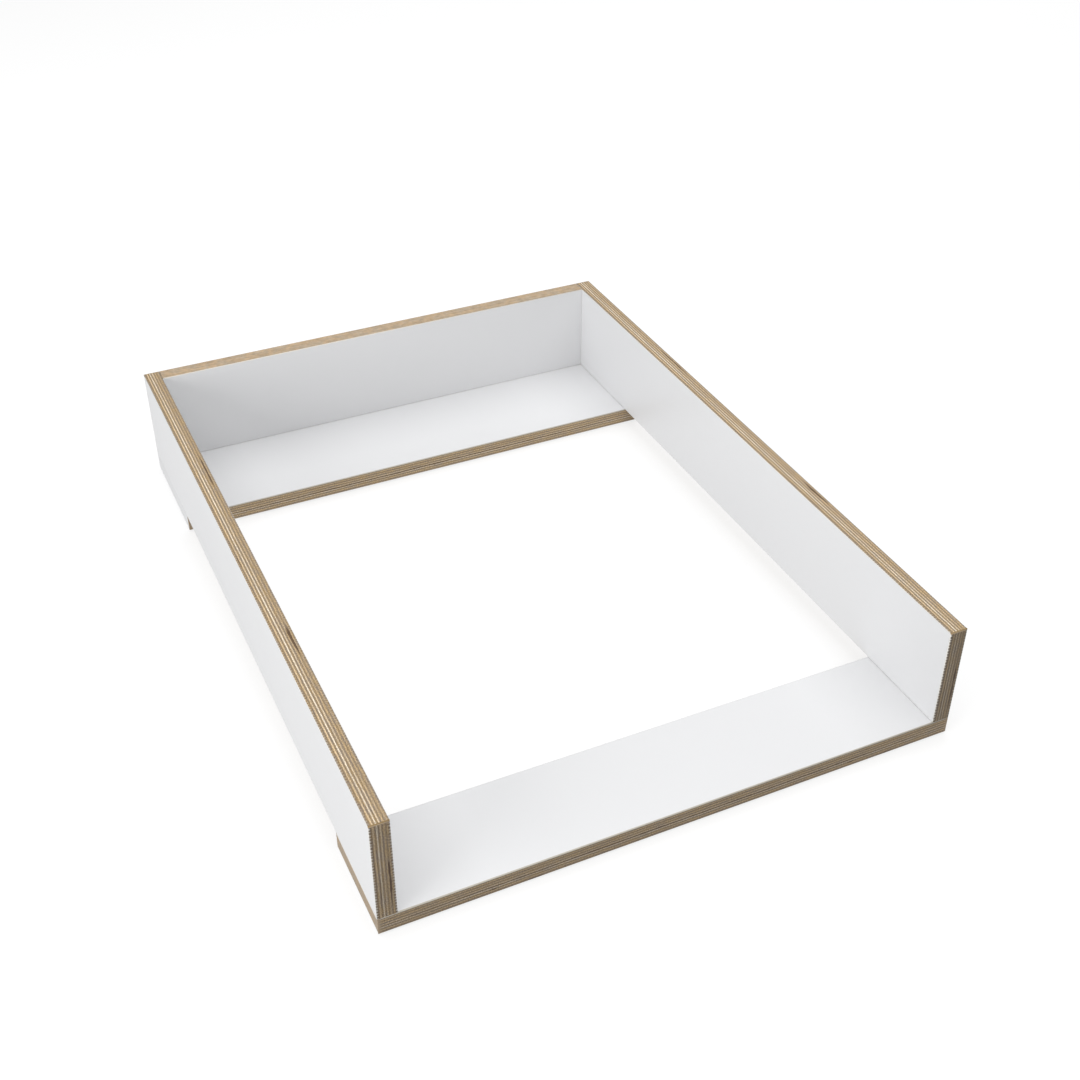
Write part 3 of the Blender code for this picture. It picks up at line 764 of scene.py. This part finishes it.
low, high = panel_box("front_board")
front_marks = stretched(FRONT_BOARD_MARKS, high[X] - low[X])
front_print = plywood_band(
    "front_board_print", (Z, X), low, high, 63.0, fade=0.0, contrast=FRONT_BOARD_CONTRAST,
    tone=FRONT_BOARD_TONE, stitch=0.0, marks=front_marks, end="wrapped",
    share=BEIGE_RIM_SHARE, rim=BEIGE_BODY,
)
front_end = plain_band("front_board_end_tan", (Z, Y), low, high, 71.0, tone=0.78, mottle=0.20, share=0.10)
rear_print = plywood_band(
    "front_board_rear_print", (Z, X), low, high, 79.0, fade=0.0, contrast=FRONT_BOARD_CONTRAST,
    tone=FRONT_BOARD_TONE, stitch=0.0, marks=front_marks, end="wrapped", rim=LAMINATE_WHITE,
)
make_band("front_board_band_front", (Y, -1), Z, front_print, open_ends=BOTH_ENDS)
make_band("front_board_band_back", (Y, 1), Z, rear_print, open_ends=BOTH_ENDS)
make_band("front_board_band_left", (X, -1), Z, front_end)
make_band("front_board_band_right", (X, 1), Z, front_end)
print("with the front board's:", len(pieces))

# %% Back board bands
BACK_BOARD_MARKS = ((0.45, -0.1, 1.1, 0.045),)

low, high = panel_box("back_board")
back_print = plywood_band(
    "back_board_print", (Z, X), low, high, 87.0, fade=0.0, contrast=0.55, tone=0.96, stitch=0.0,
    marks=stretched(BACK_BOARD_MARKS, high[X] - low[X]), end="wrapped",
    share=BEIGE_RIM_SHARE, rim=BEIGE_BODY,
)
white_long = white_band("back_board_long_white", (Z, X), low, high)
white_end = white_band("back_board_end_white", (Z, Y), low, high)
make_band("back_board_band_front", (Y, -1), Z, back_print, open_ends=BOTH_ENDS)
make_band("back_board_band_back", (Y, 1), Z, white_long, open_ends=BOTH_ENDS)
make_band("back_board_band_left", (X, -1), Z, white_end)
make_band("back_board_band_right", (X, 1), Z, white_end)
print("all bands:", len(pieces))

# %% [markdown]
# ## Boards with clean bores
#
# The side walls are plain boards, and the construction's own solids are right as they are, so they only
# get the laminate finish. The other three boards show drilled holes: countersunk ones under the tray, and
# two round pockets in the back wall. The construction model drills them with few sides. Here each board
# is a new box of the same size, and Boolean modifiers cut bores of 64 sides through it at the screws' and
# cams' own places.

# %% Turned shapes
BORE_SIDES = 64
WELD_DISTANCE = 0.000001


def ring(bm, height, radius, sides):
    """A ring of vertices round Z. radius is a number or a function of the vertex's number."""
    points = []
    for index in range(sides):
        reach = radius(index) if callable(radius) else radius
        angle = tau * index / sides
        points.append(bm.verts.new((reach * cos(angle), reach * sin(angle), height)))
    return points


def turn_profile(bm, rows, sides):
    """Turns rows of (height, radius) round Z and closes both ends."""
    rings = [ring(bm, height, radius, sides) for height, radius in rows]
    for lower, upper in zip(rings, rings[1:]):
        for index in range(sides):
            following = (index + 1) % sides
            bm.faces.new((lower[index], lower[following], upper[following], upper[index]))
    bm.faces.new(list(reversed(rings[0])))
    bm.faces.new(rings[-1])
    return rings


def sharpen(bm, angle=radians(32.0)):
    """Smooth shading everywhere except across edges sharper than angle."""
    bm.normal_update()
    for face in bm.faces:
        face.smooth = True
    for edge in bm.edges:
        edge.smooth = len(edge.link_faces) == 2 and edge.calc_face_angle(0.0) < angle


def drill(piece, cutters):
    """Cuts bores out of a board. Each cutter is its profile rows and its place."""
    for rows, place in cutters:
        bm = bmesh.new()
        turn_profile(bm, rows, BORE_SIDES)
        bmesh.ops.transform(bm, matrix=place, verts=bm.verts)
        bm.normal_update()
        mesh = bpy.data.meshes.new("drill")
        bm.to_mesh(mesh)
        bm.free()
        cutter = bpy.data.objects.new("drill", mesh)
        bpy.context.scene.collection.objects.link(cutter)
        modifier = piece.modifiers.new("bore", "BOOLEAN")
        modifier.object = cutter
        modifier.operation = "DIFFERENCE"
        bpy.context.view_layer.update()
        evaluated = piece.evaluated_get(bpy.context.evaluated_depsgraph_get())
        drilled = bpy.data.meshes.new_from_object(evaluated)
        piece.modifiers.clear()
        piece.data = drilled
        bpy.data.objects.remove(cutter)
    bm = bmesh.new()
    bm.from_mesh(piece.data)
    bmesh.ops.remove_doubles(bm, verts=bm.verts, dist=WELD_DISTANCE)
    sharpen(bm)
    bm.to_mesh(piece.data)
    bm.free()


print("bores have", BORE_SIDES, "sides")

# %% [markdown]
# The screws are countersunk furniture screws, and their heads sit 0.4 mm deep in the boards' undersides.
# Their bores are a wide cylinder for the head, a cone for its underside and a narrower way for the shank.

# %% Where the screws and cams are
BORE_ROOM = 0.0003
HEAD_RIM = 0.0006
HEAD_CONE = 0.0030
SHANK_RADIUS = 0.0035
THROUGH = 0.001
CAM_NAMES = ("left_cam", "right_cam")

screw_names = sorted(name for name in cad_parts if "_screw_" in name)
board_screws = {
    "front_board": [name for name in screw_names if name.startswith("front_board")],
    "back_board": [name for name in screw_names if name.startswith("back_")],
}


def middle_of(node):
    low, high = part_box(node)
    return (low + high) / 2


def screw_bore(screw, board):
    """The profile and place of the bore for a screw in its board."""
    low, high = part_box(screw)
    board_low, board_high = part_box(board)
    head_radius = (high.x - low.x) / 2 + BORE_ROOM
    rim_top = low.z - board_low.z + HEAD_RIM + BORE_ROOM
    shank = SHANK_RADIUS + BORE_ROOM
    rows = [
        (-THROUGH, head_radius),
        (rim_top, head_radius),
        (rim_top + HEAD_CONE, shank),
        (board_high.z - board_low.z + THROUGH, shank),
    ]
    middle = middle_of(screw)
    return rows, Matrix.Translation((middle.x, middle.y, board_low.z))


print("screws:", {board: len(names) for board, names in board_screws.items()})

# %% The boards
for board in ("front_board", "back_board"):
    low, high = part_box(board)
    bm = bmesh.new()
    box_mesh(bm, low, high)
    finish = laminate(board + "_laminate", Z, low, high)
    piece = add_piece(board + "_piece", bm, [finish], board)
    drill(piece, [screw_bore(screw, board) for screw in board_screws[board]])
    print(board, "has", len(piece.data.polygons), "faces")

# %% The back wall
POCKET_SINK = 0.0003
TO_REAR = Matrix.Rotation(-pi / 2, 4, "X")

low, high = (list(corner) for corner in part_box("back_wall"))
low[X] -= JOINT_FILL
high[X] += JOINT_FILL
bm = bmesh.new()
box_mesh(bm, low, high)
finish = laminate("back_wall_laminate", Y, low, high)
back_wall = add_piece("back_wall_piece", bm, [finish], "back_wall")
pockets = []
for cam in CAM_NAMES:
    cam_low, cam_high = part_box(cam)
    pocket_radius = (cam_high.x - cam_low.x) / 2 + BORE_ROOM
    middle = middle_of(cam)
    rows = [(0.0, pocket_radius), (high[Y] - cam_low.y + POCKET_SINK + THROUGH, pocket_radius)]
    place = Matrix.Translation((middle.x, cam_low.y - POCKET_SINK, middle.z)) @ TO_REAR
    pockets.append((rows, place))
drill(back_wall, pockets)
print("back wall has", len(back_wall.data.polygons), "faces")

# %% The side walls' finish
for wall in ("left_side_wall", "right_side_wall"):
    low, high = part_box(wall)
    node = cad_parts[wall]
    node.data.materials.clear()
    node.data.materials.append(laminate(wall + "_laminate", X, low, high))
print("side walls keep their own solids")

# %% [markdown]
# ## Metal, wood, plastic and rubber
#
# The hardware is small and mostly hidden, but it is seen from below and from behind. Zinc plating on
# steel is a cool blue-grey with cloudy bright patches, and a cast cam is duller and pitted. The dowels
# are pale beech with fine dark flecks, the cover caps are smooth white plastic, and the anti-slip pads
# are matt grey rubber.

# %% The hardware finishes
def zinc_plating():
    """Zinc plating: blue-grey and yellowish clouds with fine drawn scratches."""
    finish = Finish("zinc_plated_steel", Metallic=1.0)
    clouds = finish.speckle(600.0, 3.0)
    scratches = finish.speckle((9000.0, 900.0, 2500.0))
    tint = finish.mix(finish.step(clouds, 0.40, 0.62), (0.56, 0.60, 0.66), (0.74, 0.73, 0.66))
    finish.wear(Base_Color=tint, Roughness=0.24 + clouds * 0.16 + scratches * 0.08)
    finish.bump(scratches, 0.000008, 0.5)
    return finish.material


def cast_zinc():
    """Cast zinc: a dull grey skin with pits."""
    finish = Finish("die_cast_zinc", Metallic=1.0)
    skin = finish.speckle(2600.0, 3.0)
    pits = finish.step(skin, 0.62, 0.70)
    tint = finish.shade((0.50, 0.51, 0.53), around_one(skin, 0.3) - pits * 0.3)
    finish.wear(Base_Color=tint, Roughness=0.46 + pits * 0.25)
    finish.bump(skin - pits * 0.5, 0.00002, 0.6)
    return finish.material


def beech():
    """Beech with its grain along X and short dark flecks."""
    finish = Finish("beech", IOR=1.45)
    grain = finish.speckle((60.0, 2200.0, 2200.0), 3.0)
    flecks = finish.step(finish.speckle((900.0, 4200.0, 4200.0), 1.0), 0.60, 0.68)
    tone = finish.mix(grain, (0.56, 0.36, 0.21), (0.76, 0.56, 0.37))
    finish.wear(Base_Color=finish.shade(tone, 1.0 - flecks * 0.3), Roughness=0.62 + grain * 0.2)
    finish.bump(grain - flecks * 0.4, 0.00003, 0.6)
    return finish.material


def cap_plastic():
    """Moulded white plastic with faint flow marks."""
    finish = Finish("white_plastic", IOR=1.5)
    flow = finish.speckle(220.0, 3.0)
    spark = finish.speckle(5200.0, 1.0)
    tint = finish.shade((0.74, 0.745, 0.75), 0.97 + flow * 0.05)
    finish.wear(Base_Color=tint, Roughness=0.34 + flow * 0.12)
    finish.bump(spark, 0.000012, 0.5)
    return finish.material


def pad_rubber():
    """Matt grey rubber with open pores and a little dust."""
    finish = Finish("grey_rubber", IOR=1.45)
    pores = finish.speckle(3600.0)
    dust = finish.speckle(160.0, 3.0)
    tint = finish.mix(finish.step(dust, 0.35, 0.75), (0.115, 0.117, 0.120), (0.175, 0.175, 0.170))
    finish.wear(Base_Color=finish.shade(tint, around_one(pores, 0.3)), Roughness=0.78 + dust * 0.15)
    finish.bump(pores, 0.00005, 0.7)
    return finish.material


hardware = {
    "zinc_plated_steel": zinc_plating(),
    "die_cast_zinc": cast_zinc(),
    "beech": beech(),
    "white_plastic": cap_plastic(),
    "grey_rubber": pad_rubber(),
}
print("hardware finishes:", sorted(hardware))

# %% [markdown]
# ## Hidden fittings that keep their solids
#
# The dowels, the cams and their bolts are inside the joints, so the construction's own solids are enough.
# They only trade their plain colour for the finish of their slot.

# %% Dowels, cams and bolts
for name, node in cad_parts.items():
    slot = None
    if "_dowel_" in name:
        slot = "beech"
    elif name in CAM_NAMES:
        slot = "die_cast_zinc"
    elif name.endswith("_cam_bolt"):
        slot = "zinc_plated_steel"
    if slot:
        node.data.materials.clear()
        node.data.materials.append(hardware[slot])
print("hidden fittings finished")

# %% [markdown]
# ## Screws
#
# The same mesh is built for each of the eleven screws. Its head is a flat disc with a rounded rim, a
# hexagon socket pressed into it and a cone under it. The thread is a helix: the radius of each vertex
# follows a ridge whose phase turns with the angle and rises with the height, so no separate sweep is
# needed.

# %% The screw
SCREW_SIDES = 48
SOCKET_FLATS = 0.004
SOCKET_DEPTH = 0.0032
SHANK_LENGTH = 0.011
ROOT_RADIUS = 0.0023
SHOULDER = 0.001
TIP_LENGTH = 0.0044
TIP_RADIUS = 0.001
THREAD_TURNS = 9
THREAD_RIDGE = 0.32
STEPS_PER_TURN = 10
RIM_BREAK = 0.00025

screw_low, screw_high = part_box(screw_names[0])
screw_length = screw_high.z - screw_low.z
head_radius = (screw_high.x - screw_low.x) / 2


def hexagon(scale):
    """A radius function for a hexagon socket, scale times its flats."""

    def reach(index):
        angle = tau * index / SCREW_SIDES % (pi / 3) - pi / 6
        return SOCKET_FLATS / 2 * scale / cos(angle)

    return reach


def thread_radius(height, start, pitch, fullness):
    """A radius function for one slice of the thread."""

    def reach(index):
        phase = ((height - start) / pitch - index / SCREW_SIDES) % 1.0
        ridge = max(0.0, 1.0 - abs(phase - 0.5) / THREAD_RIDGE)
        return ROOT_RADIUS + (SHANK_RADIUS - ROOT_RADIUS) * ridge * fullness

    return reach


def screw_mesh():
    """A screw that stands on its head's face, with its tip up."""
    cone_end = HEAD_RIM + HEAD_CONE
    shank_end = cone_end + SHANK_LENGTH
    thread_start = shank_end + SHOULDER
    thread_end = screw_length - TIP_LENGTH
    pitch = (thread_end - thread_start) / THREAD_TURNS
    rows = [
        (SOCKET_DEPTH, hexagon(0.96)),
        (SOCKET_DEPTH * 0.15, hexagon(1.0)),
        (0.0, hexagon(1.12)),
        (0.0, head_radius - RIM_BREAK),
        (RIM_BREAK * 0.3, head_radius - RIM_BREAK * 0.3),
        (RIM_BREAK, head_radius),
        (HEAD_RIM, head_radius),
        (cone_end, SHANK_RADIUS),
        (shank_end, SHANK_RADIUS),
        (thread_start, ROOT_RADIUS),
    ]
    slices = THREAD_TURNS * STEPS_PER_TURN
    for number in range(1, slices + 1):
        height = thread_start + (thread_end - thread_start) * number / slices
        fullness = min(1.0, number / STEPS_PER_TURN, (slices - number) / STEPS_PER_TURN)
        rows.append((height, thread_radius(height, thread_start, pitch, fullness)))
    rows.append((screw_length, TIP_RADIUS))
    bm = bmesh.new()
    turn_profile(bm, rows, SCREW_SIDES)
    bmesh.ops.recalc_face_normals(bm, faces=bm.faces)
    sharpen(bm)
    return bm


for name in screw_names:
    middle = middle_of(name)
    place = Matrix.Translation((middle.x, middle.y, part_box(name)[0].z))
    slot = "zinc_plated_steel"
    add_piece(name + "_piece", screw_mesh(), [hardware[slot]], name, place)
print("screws of", round(screw_length * 1000, 1), "mm:", len(screw_names))

# %% [markdown]
# ## Cover caps
#
# A cover cap is a thin moulded disc, flush with the back wall. Its rim is rounded, and a shallow ring and
# a tiny gate mark are left in its face by the mould.

# %% The cover caps
CAP_SIDES = 96
CAP_RIM = 0.0004
RING_RADIUS = 0.0056
RING_WIDTH = 0.0003
RING_DEPTH = 0.00012
GATE_RADIUS = 0.0006


def rounded_rim(radius, height, reach, steps, top=True):
    """Rows of a quarter circle between a disc's side and its face."""
    rows = []
    for number in range(steps + 1):
        angle = pi / 2 * number / steps
        if not top:
            angle = pi / 2 - angle
        rise = sin(angle) * reach
        inset = reach - cos(angle) * reach
        rows.append((height + rise if top else height - rise, radius - inset))
    return rows


def cap_mesh(radius, thickness):
    """A cap that lies on the origin with its face up."""
    rows = [(0.0, radius - CAP_RIM)]
    rows += [(CAP_RIM, radius)]
    rows += rounded_rim(radius, thickness - CAP_RIM, CAP_RIM, 5)
    rows += [
        (thickness, RING_RADIUS + RING_WIDTH),
        (thickness - RING_DEPTH, RING_RADIUS + RING_WIDTH * 0.5),
        (thickness - RING_DEPTH, RING_RADIUS - RING_WIDTH * 0.5),
        (thickness, RING_RADIUS - RING_WIDTH),
        (thickness, GATE_RADIUS * 1.3),
        (thickness - RING_DEPTH, GATE_RADIUS),
    ]
    bm = bmesh.new()
    turn_profile(bm, rows, CAP_SIDES)
    bmesh.ops.recalc_face_normals(bm, faces=bm.faces)
    sharpen(bm)
    return bm


for cam in CAM_NAMES:
    cap = cam + "_cap"
    cap_low, cap_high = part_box(cap)
    middle = middle_of(cap)
    place = Matrix.Translation((middle.x, cap_low.y, middle.z)) @ TO_REAR
    mesh = cap_mesh((cap_high.x - cap_low.x) / 2, cap_high.y - cap_low.y)
    add_piece(cap + "_piece", mesh, [hardware["white_plastic"]], cap, place)
print("cover caps:", len(CAM_NAMES))

# %% [markdown]
# ## Anti-slip pads
#
# Four self-adhesive rubber discs keep the tray from sliding. Real ones are punched from a sheet: a soft
# rounded rim, and a face with low concentric ribs that grip. The ribs are turned with the disc.

# %% The pads
PAD_SIDES = 96
PAD_RIM = 0.0005
RIB_COUNT = 6
RIB_DEPTH = 0.00018
RIB_CREST, RIB_FLANK, RIB_FOOT = 0.12, 0.22, 0.40


def pad_mesh(radius, thickness):
    """A ribbed pad that stands on its ribs, with its sticky face up."""
    rib_start = radius - PAD_RIM * 2.0
    rib_pitch = rib_start / RIB_COUNT
    rows = [(RIB_DEPTH, rib_pitch * 0.25)]
    for number in range(1, RIB_COUNT + 1):
        crest = rib_pitch * (number - 0.5)
        rows += [
            (RIB_DEPTH * 0.2, crest - rib_pitch * RIB_FLANK),
            (0.0, crest - rib_pitch * RIB_CREST),
            (0.0, crest + rib_pitch * RIB_CREST),
            (RIB_DEPTH * 0.2, crest + rib_pitch * RIB_FLANK),
            (RIB_DEPTH, crest + rib_pitch * RIB_FOOT),
        ]
    rows += [
        (0.0, radius - PAD_RIM),
        (PAD_RIM * 0.1, radius - PAD_RIM * 0.6),
        (PAD_RIM * 0.45, radius - PAD_RIM * 0.15),
        (PAD_RIM, radius),
    ]
    rows += rounded_rim(radius, thickness - PAD_RIM * 0.5, PAD_RIM * 0.5, 4)
    bm = bmesh.new()
    turn_profile(bm, rows, PAD_SIDES)
    bmesh.ops.recalc_face_normals(bm, faces=bm.faces)
    sharpen(bm, radians(50.0))
    return bm


for name in sorted(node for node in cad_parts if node.startswith("anti_slip_pad")):
    pad_low, pad_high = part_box(name)
    middle = middle_of(name)
    mesh = pad_mesh((pad_high.x - pad_low.x) / 2, pad_high.z - pad_low.z)
    place = Matrix.Translation((middle.x, middle.y, pad_low.z))
    add_piece(name + "_piece", mesh, [hardware["grey_rubber"]], name, place)
print("pieces in all:", len(pieces))
